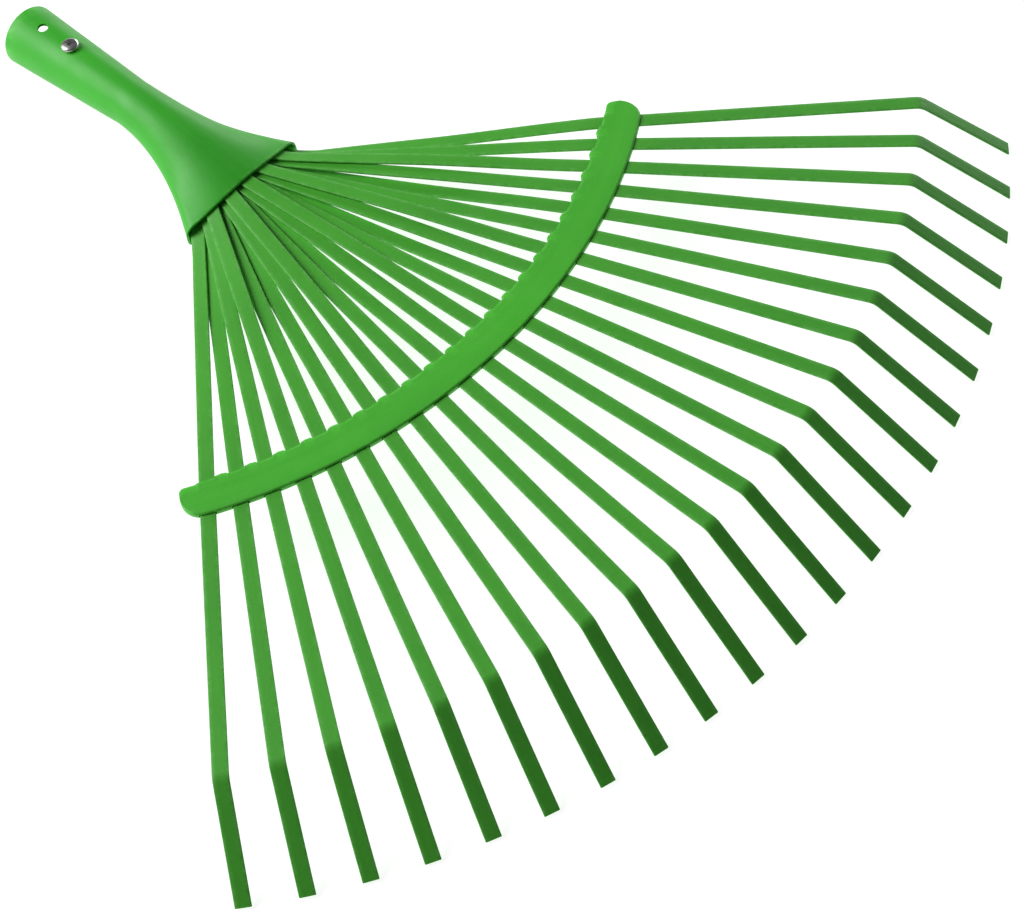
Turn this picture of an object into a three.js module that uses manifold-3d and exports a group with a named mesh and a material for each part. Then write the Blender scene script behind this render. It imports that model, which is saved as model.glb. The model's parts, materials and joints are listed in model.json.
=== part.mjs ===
// Head of a fan-shaped leaf rake: a rolled sheet-steel socket whose flared end grips the roots of
// flat spring-steel tines, which a slotted crossbar spreads into a fan. All lengths are millimetres.
//
// Fan frame used by every builder below: the apex where the tine centre lines meet is the origin,
// +X runs along the rake towards the tips, +Z is up and z = 0 is the middle of the fanned tines.
// The finished head is turned as a whole so that it stands on the tine tips and the socket mouth.
import * as THREE from 'three';
import { mergeVertices } from 'three/addons/utils/BufferGeometryUtils.js';
import Module from 'manifold-3d';

// ---------- driving dimensions ----------
const TINE_COUNT = 22;
const FAN_ANGLE = THREE.MathUtils.degToRad(82.2); // between the two outer tines
const TINE_WIDTH = 6.2;
const TINE_THICKNESS = 0.9;
const FAN_REACH = 290; // apex to the elbows in the middle of the fan
const ELBOW_ARC_RADIUS = 325; // the elbows lie on this arc
const BEND_ANGLE = THREE.MathUtils.degToRad(41.6); // how far the tine ends turn down
const BEND_RADIUS = 6; // on the centre line of the strip
const BENT_LENGTH = 55; // elbow corner to tip, in the middle of the fan
const ROOT_ORDER = [0, 1, 3, 2]; // layer of each root, repeated across the fan; 0 is the lowest
const FIT = 0.3; // clearance between pieces that touch
const PACK_BEND_RADIUS = 110; // how sharply the stacked roots curve across the rake

const CROSSBAR_REACH = 174.6; // apex to the front edge in the middle
const CROSSBAR_ARC_RADIUS = 232; // of the front edge
const CROSSBAR_WIDTH = 15;
const CROSSBAR_SHEET = 0.8;
const CROSSBAR_OVERHANG = 7; // past the side of the outer tines
const CROSSBAR_FRONT_CORNER = 9; // radius at each end
const CROSSBAR_REAR_CORNER = 2.5; // radius at each end
const CROSSBAR_LAND = 3; // pinched strip along the rear edge
const SCALLOP_HEIGHT = 1.6; // tabs between the tines on the rear edge

const SOCKET_SHEET = 1.2;
const MOUTH_X = -101;
const MOUTH_RADIUS = 13.4; // outside
const NECK_X = -35; // the flare starts here
const NECK_RADIUS = 10.3; // outside
const SOCKET_AXIS_HEIGHT = 5.9; // above the tines
const SEAM_GAP = 0.8; // open butt seam along the underside
const FLARE_X = 33; // front edge of the flare, in the middle
const FLARE_BOW = 4; // how far its corners are set back
const FLARE_GROWTH = 1.7; // exponent: how late the flare opens
const FLARE_SIDE_ROOM = 0.9; // beside the outer tines
const ROOF_CORNER_RADIUS = 4.5; // where the roof of the flare turns down
const LIP_CORNER_RADIUS = 2; // where its sides turn in
const ARCH_DROP = 6.5; // outer tines below the middle ones at the flare
const LIP_WIDTH = 7.5; // folded in under the clamp plate

const HOLE_X = -87;
const HOLE_DIAMETER = 4.5;
const SCREW_X = -69.5;
const SCREW_HEAD_DIAMETER = 7.6;
const SCREW_HEAD_HEIGHT = 1.7;
const SCREW_SHANK_DIAMETER = 4;
const SCREW_LENGTH = 16;
const SCREW_POINT_LENGTH = 4;
const RECESS_WIDTH = 0.9;
const RECESS_SPAN = 3.6;
const RECESS_DEPTH = 1.1;

const CLAMP_SHEET = 1.5;
const CLAMP_REAR_X = 8;
const CLAMP_FRONT_SETBACK = 1; // behind the edge of the flare
const RIVET_SHANK_DIAMETER = 3;
const RIVET_HEAD_DIAMETER = 6;
const RIVET_HEAD_HEIGHT = 1.5;
const RIVET_SETBACK = 6.5; // behind the edge of the flare

// ---------- derived dimensions ----------
const PITCH = FAN_ANGLE / (TINE_COUNT - 1);
const HALF_FAN = FAN_ANGLE / 2;
const ROOT_LAYERS = ROOT_ORDER.length;
const LAYER_GAP = TINE_WIDTH ** 2 / PACK_BEND_RADIUS; // a flat strip bridges the curved pack
const LAYER_STEP = TINE_THICKNESS + LAYER_GAP;
const PACK_HALF = ((ROOT_LAYERS - 1) * LAYER_STEP + TINE_THICKNESS) / 2;
const ROOT_RADIUS = (TINE_WIDTH + FIT) / (ROOT_LAYERS * PITCH); // tines of one layer just clear
const SINGLE_LAYER_RADIUS = (TINE_WIDTH + FIT) / PITCH; // past here all tines clear each other
const CROSSBAR_CENTRE_X = CROSSBAR_REACH - CROSSBAR_ARC_RADIUS;
const CROSSBAR_REAR_RADIUS = CROSSBAR_ARC_RADIUS - CROSSBAR_WIDTH;
const SLOT_HEIGHT = TINE_THICKNESS + 2 * FIT;
const CROSSBAR_HEIGHT = SLOT_HEIGHT + 2 * CROSSBAR_SHEET;
const fanHalfWidth = (x) => x * Math.tan(HALF_FAN) + TINE_WIDTH / 2 / Math.cos(HALF_FAN);
const FLARE_HALF_WIDTH = fanHalfWidth(FLARE_X - FLARE_BOW) + FLARE_SIDE_ROOM;
const CREASE_BLEND = 16 * FLARE_X; // rounds the pack where it leaves the flare
const CREASE_RUNOUT = 8; // the pack is straight from here on, past the edge of the flare
const SLOPE_STEP = 0.5; // distance to either side over which a slope is taken
const GIRTH_STEP = 0.004; // the same for the socket sheet, as a share of half its girth
const LIP_DROP = 2.5 * FIT; // from the clamp plate's underside to the folded lips

// Distance from the apex, along the direction angle, to an arc of radius r centred on the X axis.
function reachToArc(angle, radius, centreX) {
  const along = centreX * Math.cos(angle);
  return along + Math.sqrt(radius ** 2 - (centreX * Math.sin(angle)) ** 2);
}

const elbowReach = (angle) => reachToArc(angle, ELBOW_ARC_RADIUS, FAN_REACH - ELBOW_ARC_RADIUS);
const crossbarRear = (angle) => reachToArc(angle, CROSSBAR_REAR_RADIUS, CROSSBAR_CENTRE_X);

// ---------- ground ----------
// The ground passes under the socket mouth and the tip of the middle tines. Every other tine is
// cut where it meets that plane, so all tips touch. GROUND_SLOPE is how fast it falls along +X.
const MOUTH_BOTTOM = SOCKET_AXIS_HEIGHT - MOUTH_RADIUS;

// Lowest corner of a tine tip as a point (x, z), for a bent length.
function tipCorner(angle, bentLength) {
  const reach = elbowReach(angle) + bentLength * Math.cos(BEND_ANGLE);
  const inset = (TINE_THICKNESS / 2) * Math.sin(BEND_ANGLE);
  const x = (reach - inset) * Math.cos(angle) - (TINE_WIDTH / 2) * Math.abs(Math.sin(angle));
  const z = -bentLength * Math.sin(BEND_ANGLE) - (TINE_THICKNESS / 2) * Math.cos(BEND_ANGLE);
  return { x, z };
}

const middleTip = tipCorner(PITCH / 2, BENT_LENGTH);
const GROUND_SLOPE = (MOUTH_BOTTOM - middleTip.z) / (middleTip.x - MOUTH_X);

function bentLengthToGround(angle) {
  const corner = tipCorner(angle, 0);
  const clearance = corner.z - (MOUTH_BOTTOM - GROUND_SLOPE * (corner.x - MOUTH_X));
  const closing = Math.sin(BEND_ANGLE) - GROUND_SLOPE * Math.cos(BEND_ANGLE) * Math.cos(angle);
  return clearance / closing;
}

// ---------- mesh helpers ----------
function geometryFrom(points, triangles) {
  const geometry = new THREE.BufferGeometry();
  const positions = new Float32Array(points.flatMap((p) => [p.x, p.y, p.z]));
  geometry.setAttribute('position', new THREE.BufferAttribute(positions, 3));
  geometry.setIndex(triangles.flat());
  return geometry;
}

// Skins a run of closed rings, all with the same number of points, and closes both ends with caps,
// a list of triangles over one ring.
function loft(rings, caps) {
  const count = rings[0].length;
  const triangles = [];
  for (let i = 0; i < rings.length - 1; i += 1) {
    for (let j = 0; j < count; j += 1) {
      const a = i * count + j;
      const b = i * count + ((j + 1) % count);
      triangles.push([a, b, a + count], [b, b + count, a + count]);
    }
  }
  const last = (rings.length - 1) * count;
  for (const [a, b, c] of caps) {
    triangles.push([a, c, b], [last + a, last + b, last + c]);
  }
  return geometryFrom(rings.flat(), triangles);
}

const { Manifold, Mesh: SolidMesh } = await loadSolids();

async function loadSolids() {
  const wasm = await Module();
  wasm.setup();
  return wasm;
}

function toSolid(geometry) {
  const bare = geometry.clone();
  bare.deleteAttribute('normal');
  bare.deleteAttribute('uv');
  const merged = mergeVertices(bare, 1e-4);
  const vertProperties = new Float32Array(merged.attributes.position.array);
  const triVerts = new Uint32Array(merged.index.array);
  return new Manifold(new SolidMesh({ numProp: 3, vertProperties, triVerts }));
}

function toGeometry(solid) {
  const mesh = solid.getMesh();
  const geometry = new THREE.BufferGeometry();
  geometry.setAttribute('position', new THREE.BufferAttribute(mesh.vertProperties, 3));
  geometry.setIndex(new THREE.BufferAttribute(mesh.triVerts, 1));
  return geometry;
}

// Upright cylinder from z = bottom to z = top.
function cylinder(diameter, bottom, top, x = 0, y = 0, sides = 24) {
  const geometry = new THREE.CylinderGeometry(diameter / 2, diameter / 2, top - bottom, sides);
  geometry.rotateX(Math.PI / 2);
  return geometry.translate(x, y, (top + bottom) / 2);
}

// ---------- the pack of tine roots ----------
// Height of the middle of the pack. Its arch across the rake is deepest at the front edge of the
// flare, flattens towards the neck and rises straight to the flat fan at the crossbar; a soft
// minimum rounds the change at the edge.
function packHeight(x, y) {
  const angle = Math.atan2(y, x);
  const toCrossbar = crossbarRear(angle) - FIT;
  const rise = (toCrossbar - Math.hypot(x, y)) / (toCrossbar - FLARE_X / Math.cos(angle));
  const inside = x * x;
  const outside = FLARE_X ** 2 * Math.max(rise, 0);
  const mix = THREE.MathUtils.clamp(0.5 + (inside - outside) / (2 * CREASE_BLEND), 0, 1);
  const smallest = THREE.MathUtils.lerp(inside, outside, mix) - CREASE_BLEND * mix * (1 - mix);
  return -ARCH_DROP * (angle / HALF_FAN) ** 2 * (smallest / FLARE_X ** 2);
}

// Slope of the pack across a tine, which the flat strip follows.
function packRoll(reach, angle) {
  const side = new THREE.Vector2(-Math.sin(angle), Math.cos(angle)).multiplyScalar(SLOPE_STEP);
  const x = reach * Math.cos(angle);
  const y = reach * Math.sin(angle);
  const higher = packHeight(x + side.x, y + side.y);
  const lower = packHeight(x - side.x, y - side.y);
  return Math.atan2(higher - lower, 2 * SLOPE_STEP);
}

// ---------- tines ----------
// Centre line stations of one tine in its own vertical plane: reach, height and downward turn.
function tineStations(angle, layer) {
  const layerHeight = (layer - (ROOT_LAYERS - 1) / 2) * LAYER_STEP;
  const easeEnd = crossbarRear(angle) - 2 * SCALLOP_HEIGHT;
  const easeStart = Math.min(SINGLE_LAYER_RADIUS, easeEnd);
  const curvedEnd = FLARE_X / Math.cos(HALF_FAN) + CREASE_RUNOUT;
  const tangent = BEND_RADIUS * Math.tan(BEND_ANGLE / 2);
  const elbow = elbowReach(angle);
  const stations = [];
  const addRun = (from, to, steps) => {
    for (let i = 0; i < steps; i += 1) {
      const reach = THREE.MathUtils.lerp(from, to, i / steps);
      const ease = 1 - THREE.MathUtils.smoothstep(reach, easeStart, easeEnd);
      const pack = packHeight(reach * Math.cos(angle), reach * Math.sin(angle));
      const roll = packRoll(reach, angle);
      stations.push({ reach, height: pack + layerHeight * ease, roll, turn: 0 });
    }
  };
  addRun(ROOT_RADIUS, curvedEnd, 12);
  addRun(curvedEnd, easeStart, 3);
  addRun(easeStart, easeEnd, 6);
  addRun(easeEnd, elbow - tangent, 1);
  const bendSteps = 6;
  for (let i = 0; i <= bendSteps; i += 1) {
    const turn = (BEND_ANGLE * i) / bendSteps;
    const reach = elbow - tangent + BEND_RADIUS * Math.sin(turn);
    const height = -BEND_RADIUS * (1 - Math.cos(turn));
    stations.push({ reach, height, roll: 0, turn });
  }
  const bent = bentLengthToGround(angle);
  const tipReach = elbow + bent * Math.cos(BEND_ANGLE);
  stations.push({
    reach: tipReach,
    height: -bent * Math.sin(BEND_ANGLE),
    roll: 0,
    turn: BEND_ANGLE,
  });
  return stations;
}

function tineGeometry(angle, layer) {
  const along = new THREE.Vector3(Math.cos(angle), Math.sin(angle), 0);
  const across = new THREE.Vector3(-Math.sin(angle), Math.cos(angle), 0);
  const up = new THREE.Vector3(0, 0, 1);
  const rings = tineStations(angle, layer).map(({ reach, height, roll, turn }) => {
    const centre = along.clone().multiplyScalar(reach).addScaledVector(up, height);
    const side = across.clone().multiplyScalar(Math.cos(roll)).addScaledVector(up, Math.sin(roll));
    const face = up.clone().multiplyScalar(Math.cos(roll)).addScaledVector(across, -Math.sin(roll));
    face.multiplyScalar(Math.cos(turn)).addScaledVector(along, Math.sin(turn));
    return [[1, 1], [-1, 1], [-1, -1], [1, -1]].map(([s, f]) =>
      centre
        .clone()
        .addScaledVector(side, (s * TINE_WIDTH) / 2)
        .addScaledVector(face, (f * TINE_THICKNESS) / 2),
    );
  });
  return loft(rings, [[0, 1, 2], [0, 2, 3]]);
}

// ---------- crossbar ----------
function crossbarPoint(radius, angle) {
  return new THREE.Vector2(
    CROSSBAR_CENTRE_X + radius * Math.cos(angle),
    radius * Math.sin(angle),
  );
}

// Angle about the centre of the crossbar arc where a fan direction crosses the given radius.
function crossbarAngle(fanAngle, radius) {
  const reach = reachToArc(fanAngle, radius, CROSSBAR_CENTRE_X);
  return Math.atan2(reach * Math.sin(fanAngle), reach * Math.cos(fanAngle) - CROSSBAR_CENTRE_X);
}

// Outline seen from above: smooth front arc, ends with rounded corners, and a rear edge with one
// small rounded tab in each gap between two tines.
function crossbarOutline() {
  const middle = (CROSSBAR_ARC_RADIUS + CROSSBAR_REAR_RADIUS) / 2;
  const overhang = (TINE_WIDTH / 2 + CROSSBAR_OVERHANG - CROSSBAR_FRONT_CORNER) / middle;
  const end = crossbarAngle(HALF_FAN, middle) + overhang;
  const points = [];
  const frontSteps = 60;
  for (let i = 0; i <= frontSteps; i += 1) {
    points.push(crossbarPoint(CROSSBAR_ARC_RADIUS, THREE.MathUtils.lerp(-end, end, i / frontSteps)));
  }
  points.push(...crossbarEnd(middle, end, 1));
  for (let gap = TINE_COUNT - 1; gap >= 1; gap -= 1) {
    const fanAngle = (gap - TINE_COUNT / 2) * PITCH;
    const centre = crossbarAngle(fanAngle, CROSSBAR_REAR_RADIUS);
    const spacing = crossbarRear(fanAngle) * PITCH;
    const half = (spacing - TINE_WIDTH) / 2 / CROSSBAR_REAR_RADIUS;
    const tabSteps = 6;
    for (let i = 0; i <= tabSteps; i += 1) {
      const share = i / tabSteps;
      const bump = SCALLOP_HEIGHT * Math.sin(Math.PI * share);
      points.push(crossbarPoint(CROSSBAR_REAR_RADIUS - bump, centre + half * (1 - 2 * share)));
    }
  }
  points.push(...crossbarEnd(middle, -end, -1).reverse());
  return new THREE.Shape(points);
}

// Points round one end of the crossbar, from the front corner to the rear corner. The corners
// begin at the bar angle start; side is 1 at the left end and -1 at the right end.
function crossbarEnd(middle, start, side) {
  const outward = new THREE.Vector2(Math.cos(start), Math.sin(start));
  const onward = new THREE.Vector2(-Math.sin(start), Math.cos(start)).multiplyScalar(side);
  const half = CROSSBAR_WIDTH / 2;
  const rearAhead = CROSSBAR_FRONT_CORNER - CROSSBAR_REAR_CORNER;
  const corners = [
    { radius: CROSSBAR_FRONT_CORNER, out: half - CROSSBAR_FRONT_CORNER, on: 0, from: 0 },
    { radius: CROSSBAR_REAR_CORNER, out: CROSSBAR_REAR_CORNER - half, on: rearAhead, from: 1 },
  ];
  const steps = 6;
  const points = [];
  for (const { radius, out, on, from } of corners) {
    for (let i = from === 0 ? 1 : 0; i <= steps; i += 1) {
      const turn = (Math.PI / 2) * (from + i / steps);
      const point = crossbarPoint(middle, start);
      point.addScaledVector(outward, out + radius * Math.cos(turn));
      points.push(point.addScaledVector(onward, on + radius * Math.sin(turn)));
    }
  }
  return points;
}

// Space between the two flaps of the folded strip.
function crossbarCavity() {
  const end = crossbarAngle(HALF_FAN, CROSSBAR_REAR_RADIUS) + TINE_WIDTH / CROSSBAR_REAR_RADIUS;
  const shape = new THREE.Shape();
  shape.absarc(CROSSBAR_CENTRE_X, 0, CROSSBAR_ARC_RADIUS - CROSSBAR_SHEET, -end, end, false);
  shape.absarc(CROSSBAR_CENTRE_X, 0, CROSSBAR_REAR_RADIUS + CROSSBAR_LAND, end, -end, true);
  return extrudeCentred(shape, SLOT_HEIGHT, 40);
}

function extrudeCentred(shape, height, curveSegments = 12) {
  const geometry = new THREE.ExtrudeGeometry(shape, {
    depth: height,
    bevelEnabled: false,
    curveSegments,
  });
  return geometry.translate(0, 0, -height / 2);
}

function crossbarGeometry() {
  let bar = toSolid(extrudeCentred(crossbarOutline(), CROSSBAR_HEIGHT));
  bar = bar.subtract(toSolid(crossbarCavity()));
  for (let k = 0; k < TINE_COUNT; k += 1) {
    const angle = tineAngle(k);
    const from = crossbarRear(angle) - CROSSBAR_WIDTH;
    const length = 3 * CROSSBAR_WIDTH;
    const slot = new THREE.BoxGeometry(length, TINE_WIDTH + 2 * FIT, SLOT_HEIGHT);
    slot.translate(from + length / 2, 0, 0).rotateZ(angle);
    bar = bar.subtract(toSolid(slot));
  }
  return toGeometry(bar);
}

// ---------- socket ----------
// How far the front edge of the flare is set back beside the middle.
const edgeSetback = (y) => FLARE_BOW * (y / FLARE_HALF_WIDTH) ** 2;

// Half of the section along the front edge of the flare, from the crown to the edge of the lip:
// an arched roof over the pack, a short side wall and a lip folded in under the clamp plate.
function flaredHalfSection() {
  const halfSheet = SOCKET_SHEET / 2;
  const sideY = FLARE_HALF_WIDTH + halfSheet;
  const packAtEdge = (y) => packHeight(FLARE_X - edgeSetback(y), y);
  const roofHeight = (y) => packAtEdge(y) + PACK_HALF + FIT + halfSheet;
  const lipHeight = (y) => packAtEdge(y) - PACK_HALF - CLAMP_SHEET - LIP_DROP - halfSheet;
  const roofEnd = sideY - ROOF_CORNER_RADIUS;
  const lipStart = sideY - LIP_CORNER_RADIUS;
  const path = new THREE.Path();
  path.moveTo(0, roofHeight(0));
  const roofSteps = 8;
  for (let i = 1; i <= roofSteps; i += 1) {
    const y = (roofEnd * i) / roofSteps;
    path.lineTo(y, roofHeight(y));
  }
  path.quadraticCurveTo(sideY, roofHeight(sideY), sideY, roofHeight(sideY) - ROOF_CORNER_RADIUS);
  path.lineTo(sideY, lipHeight(sideY) + LIP_CORNER_RADIUS);
  path.quadraticCurveTo(sideY, lipHeight(sideY), lipStart, lipHeight(lipStart));
  path.lineTo(lipStart - LIP_WIDTH, lipHeight(lipStart - LIP_WIDTH));
  return path;
}

const flaredHalf = flaredHalfSection();

// 0 in the round tube, 1 at the front edge of the flare.
function flareShare(x) {
  const share = THREE.MathUtils.clamp((x - NECK_X) / (FLARE_X - NECK_X), 0, 1);
  return share ** FLARE_GROWTH;
}

function tubeRadius(x) {
  const share = THREE.MathUtils.clamp((x - MOUTH_X) / (NECK_X - MOUTH_X), 0, 1);
  return THREE.MathUtils.lerp(MOUTH_RADIUS, NECK_RADIUS, share) - SOCKET_SHEET / 2;
}

// Middle of the sheet at station x; girth runs from -1 at one edge over the crown 0 to 1.
function sheetPoint(x, girth) {
  const radius = tubeRadius(x);
  const turn = girth * (Math.PI - SEAM_GAP / 2 / radius);
  const flat = flaredHalf.getPointAt(Math.min(Math.abs(girth), 1));
  const share = flareShare(x);
  const y = THREE.MathUtils.lerp(radius * Math.sin(turn), Math.sign(girth) * flat.x, share);
  const z = THREE.MathUtils.lerp(SOCKET_AXIS_HEIGHT + radius * Math.cos(turn), flat.y, share);
  return new THREE.Vector3(x - share * edgeSetback(flat.x), y, z);
}

// Outward direction of the sheet, taken across the section.
function sheetNormal(x, girth) {
  const ahead = sheetPoint(x, Math.min(girth + GIRTH_STEP, 1));
  const behind = sheetPoint(x, Math.max(girth - GIRTH_STEP, -1));
  return new THREE.Vector3(0, behind.z - ahead.z, ahead.y - behind.y).normalize();
}

function socketGeometry() {
  const girthSteps = 44;
  const flareSteps = 18;
  const stations = [MOUTH_X];
  for (let i = 0; i <= flareSteps; i += 1) {
    stations.push(THREE.MathUtils.lerp(NECK_X, FLARE_X, i / flareSteps));
  }
  const rings = stations.map((x) => {
    const outer = [];
    const inner = [];
    for (let j = 0; j <= girthSteps; j += 1) {
      const girth = (2 * j) / girthSteps - 1;
      const point = sheetPoint(x, girth);
      const offset = sheetNormal(x, girth).multiplyScalar(SOCKET_SHEET / 2);
      inner.push(point.clone().sub(offset));
      outer.unshift(point.clone().add(offset));
    }
    return [...inner, ...outer];
  });
  const caps = [];
  const last = rings[0].length - 1;
  for (let j = 0; j < girthSteps; j += 1) {
    caps.push([j, j + 1, last - j], [j + 1, last - j - 1, last - j]);
  }
  let socket = toSolid(loft(rings, caps));
  const holes = [
    cylinder(HOLE_DIAMETER, SOCKET_AXIS_HEIGHT, 2 * MOUTH_RADIUS + SOCKET_AXIS_HEIGHT, HOLE_X),
    cylinder(
      SCREW_SHANK_DIAMETER + 2 * FIT,
      SOCKET_AXIS_HEIGHT,
      2 * MOUTH_RADIUS + SOCKET_AXIS_HEIGHT,
      SCREW_X,
    ),
  ];
  for (const hole of holes) {
    socket = socket.subtract(toSolid(hole));
  }
  for (const side of [-1, 1]) {
    socket = socket.subtract(toSolid(rivetHole(side)));
  }
  return toGeometry(socket);
}

// ---------- clamp plate ----------
const clampMiddle = (x, y) => packHeight(x, y) - PACK_HALF - FIT - CLAMP_SHEET / 2;

// Arched plate under the roots, as wide as the fan at each station, with the flare's bowed edge.
function clampPlateGeometry() {
  const lengthSteps = 6;
  const widthSteps = 16;
  const box = new THREE.BoxGeometry(1, 2, CLAMP_SHEET, lengthSteps, widthSteps, 1);
  const position = box.attributes.position;
  const frontX = FLARE_X - CLAMP_FRONT_SETBACK;
  for (let i = 0; i < position.count; i += 1) {
    const share = position.getX(i) + 0.5;
    const station = THREE.MathUtils.lerp(CLAMP_REAR_X, frontX, share);
    const cornerX = station - share * FLARE_BOW;
    const y = position.getY(i) * fanHalfWidth(cornerX);
    const x = station - share * FLARE_BOW * position.getY(i) ** 2;
    position.setXYZ(i, x, y, clampMiddle(x, y) + position.getZ(i));
  }
  let plate = toSolid(box);
  for (const side of [-1, 1]) {
    plate = plate.subtract(toSolid(rivetHole(side)));
  }
  return toGeometry(plate);
}

// ---------- rivets that join the lips to the clamp plate ----------
const RIVET_X = FLARE_X - RIVET_SETBACK;
const RIVET_GIRTH = 0.9; // where along the sheet the rivet passes through the lip

function rivetPlace(side) {
  const lip = sheetPoint(RIVET_X, side * RIVET_GIRTH);
  const higher = clampMiddle(lip.x, lip.y + SLOPE_STEP);
  const lower = clampMiddle(lip.x, lip.y - SLOPE_STEP);
  const tilt = Math.atan2(higher - lower, 2 * SLOPE_STEP);
  return { lip, tilt };
}

function placeRivet(geometry, side) {
  const { lip, tilt } = rivetPlace(side);
  return geometry.rotateX(tilt).translate(lip.x, lip.y, lip.z);
}

function rivetHole(side) {
  const reach = 2 * (SOCKET_SHEET + CLAMP_SHEET);
  return placeRivet(cylinder(RIVET_SHANK_DIAMETER + 2 * FIT, -reach, reach), side);
}

// Domed head under the lip and a shank that ends flush with the top of the clamp plate.
function rivetGeometry(side) {
  const { lip } = rivetPlace(side);
  const lipUnder = -SOCKET_SHEET / 2 - FIT;
  const plateTop = clampMiddle(lip.x, lip.y) + CLAMP_SHEET / 2 - lip.z - FIT;
  const headRadius = RIVET_HEAD_DIAMETER / 2;
  const shankRadius = RIVET_SHANK_DIAMETER / 2;
  const profile = [];
  const domeSteps = 5;
  for (let i = 0; i <= domeSteps; i += 1) {
    const angle = (Math.PI / 2) * (i / domeSteps);
    profile.push(
      new THREE.Vector2(
        headRadius * Math.sin(angle),
        lipUnder - RIVET_HEAD_HEIGHT * Math.cos(angle),
      ),
    );
  }
  profile.push(new THREE.Vector2(shankRadius, lipUnder));
  profile.push(new THREE.Vector2(shankRadius, plateTop));
  profile.push(new THREE.Vector2(0, plateTop));
  const geometry = new THREE.LatheGeometry(profile, 20).rotateX(Math.PI / 2);
  return placeRivet(geometry, side);
}

// ---------- screw that fixes the handle ----------
// Built standing up with its seat at the origin.
function screwGeometry() {
  const headRadius = SCREW_HEAD_DIAMETER / 2;
  const shankRadius = SCREW_SHANK_DIAMETER / 2;
  const profile = [
    new THREE.Vector2(0, -SCREW_LENGTH),
    new THREE.Vector2(shankRadius, SCREW_POINT_LENGTH - SCREW_LENGTH),
    new THREE.Vector2(shankRadius, 0),
    new THREE.Vector2(headRadius, 0),
  ];
  const domeSteps = 5;
  const rim = SCREW_HEAD_HEIGHT / 3;
  for (let i = 0; i <= domeSteps; i += 1) {
    const angle = (Math.PI / 2) * (i / domeSteps);
    profile.push(
      new THREE.Vector2(
        headRadius * Math.cos(angle),
        rim + (SCREW_HEAD_HEIGHT - rim) * Math.sin(angle),
      ),
    );
  }
  profile[profile.length - 1].x = 0;
  let screw = toSolid(new THREE.LatheGeometry(profile, 32).rotateX(Math.PI / 2));
  for (const turn of [0, Math.PI / 2]) {
    const arm = new THREE.BoxGeometry(RECESS_SPAN, RECESS_WIDTH, 2 * RECESS_DEPTH);
    arm.translate(0, 0, SCREW_HEAD_HEIGHT).rotateZ(turn + Math.PI / 4);
    screw = screw.subtract(toSolid(arm));
  }
  return toGeometry(screw);
}

// ---------- assembly ----------
function tineAngle(k) {
  return ((TINE_COUNT - 1) / 2 - k) * PITCH;
}

function enamel(colour, roughness) {
  return new THREE.MeshStandardMaterial({ color: colour, roughness, metalness: 0 });
}

const socketEnamel = enamel('#3fae35', 0.3);
const tineEnamel = enamel('#3d9a33', 0.42);
const zinc = new THREE.MeshStandardMaterial({ color: '#9a9a92', roughness: 0.35, metalness: 1 });

function named(name, geometry, material) {
  const mesh = new THREE.Mesh(geometry, material);
  mesh.name = name;
  return mesh;
}

function buildFan() {
  const fan = new THREE.Group();
  for (let k = 0; k < TINE_COUNT; k += 1) {
    const name = `tine_${String(k + 1).padStart(2, '0')}`;
    fan.add(named(name, tineGeometry(tineAngle(k), ROOT_ORDER[k % ROOT_LAYERS]), tineEnamel));
  }
  fan.add(named('crossbar', crossbarGeometry(), tineEnamel));
  return fan;
}

function buildSocket() {
  const group = new THREE.Group();
  group.add(named('socket', socketGeometry(), socketEnamel));
  group.add(named('clamp_plate', clampPlateGeometry(), tineEnamel));
  group.add(named('lip_rivet_left', rivetGeometry(1), socketEnamel));
  group.add(named('lip_rivet_right', rivetGeometry(-1), socketEnamel));
  const screw = named('handle_screw', screwGeometry(), zinc);
  const highest = tubeRadius(SCREW_X - SCREW_HEAD_DIAMETER / 2); // the tube widens to the mouth
  const crown = SOCKET_AXIS_HEIGHT + highest + SOCKET_SHEET / 2;
  screw.position.set(SCREW_X, 0, crown + FIT);
  group.add(screw);
  return group;
}

// Turns the head onto the ground plane and moves its bounding box over the origin.
function buildRake() {
  const head = new THREE.Group();
  head.add(buildFan(), buildSocket());
  head.rotation.y = Math.atan(-GROUND_SLOPE);
  head.updateMatrixWorld(true);
  const box = new THREE.Box3().setFromObject(head, true);
  const rake = new THREE.Group();
  head.position.set(-(box.min.x + box.max.x) / 2, -(box.min.y + box.max.y) / 2, -box.min.z);
  rake.add(head);
  return rake;
}

export default buildRake();
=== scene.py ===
import json
import math

import bmesh
import bpy
import numpy as np
from mathutils import Matrix, Vector


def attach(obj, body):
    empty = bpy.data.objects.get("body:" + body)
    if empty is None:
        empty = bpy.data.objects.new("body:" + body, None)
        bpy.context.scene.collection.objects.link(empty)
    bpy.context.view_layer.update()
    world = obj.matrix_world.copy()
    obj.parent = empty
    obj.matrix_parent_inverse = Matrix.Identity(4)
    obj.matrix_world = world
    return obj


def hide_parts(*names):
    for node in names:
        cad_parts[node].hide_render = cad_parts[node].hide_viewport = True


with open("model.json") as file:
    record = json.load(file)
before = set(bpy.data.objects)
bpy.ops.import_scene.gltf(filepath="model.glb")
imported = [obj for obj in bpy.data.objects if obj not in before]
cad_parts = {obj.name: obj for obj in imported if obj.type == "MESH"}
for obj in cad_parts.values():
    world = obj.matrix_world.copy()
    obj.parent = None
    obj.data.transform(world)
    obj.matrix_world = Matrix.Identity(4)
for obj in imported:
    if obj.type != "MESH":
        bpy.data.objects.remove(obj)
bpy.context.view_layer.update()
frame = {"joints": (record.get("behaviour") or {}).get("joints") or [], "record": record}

# Head of a fan-shaped leaf rake. Sizes are millimetres in the fan frame: the apex where the tine
# centre lines meet is the origin, +X runs to the tips, +Z is up and z = 0 is the middle of the
# fanned tines. TO_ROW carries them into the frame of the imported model, in metres.
MM = 0.001

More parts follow.
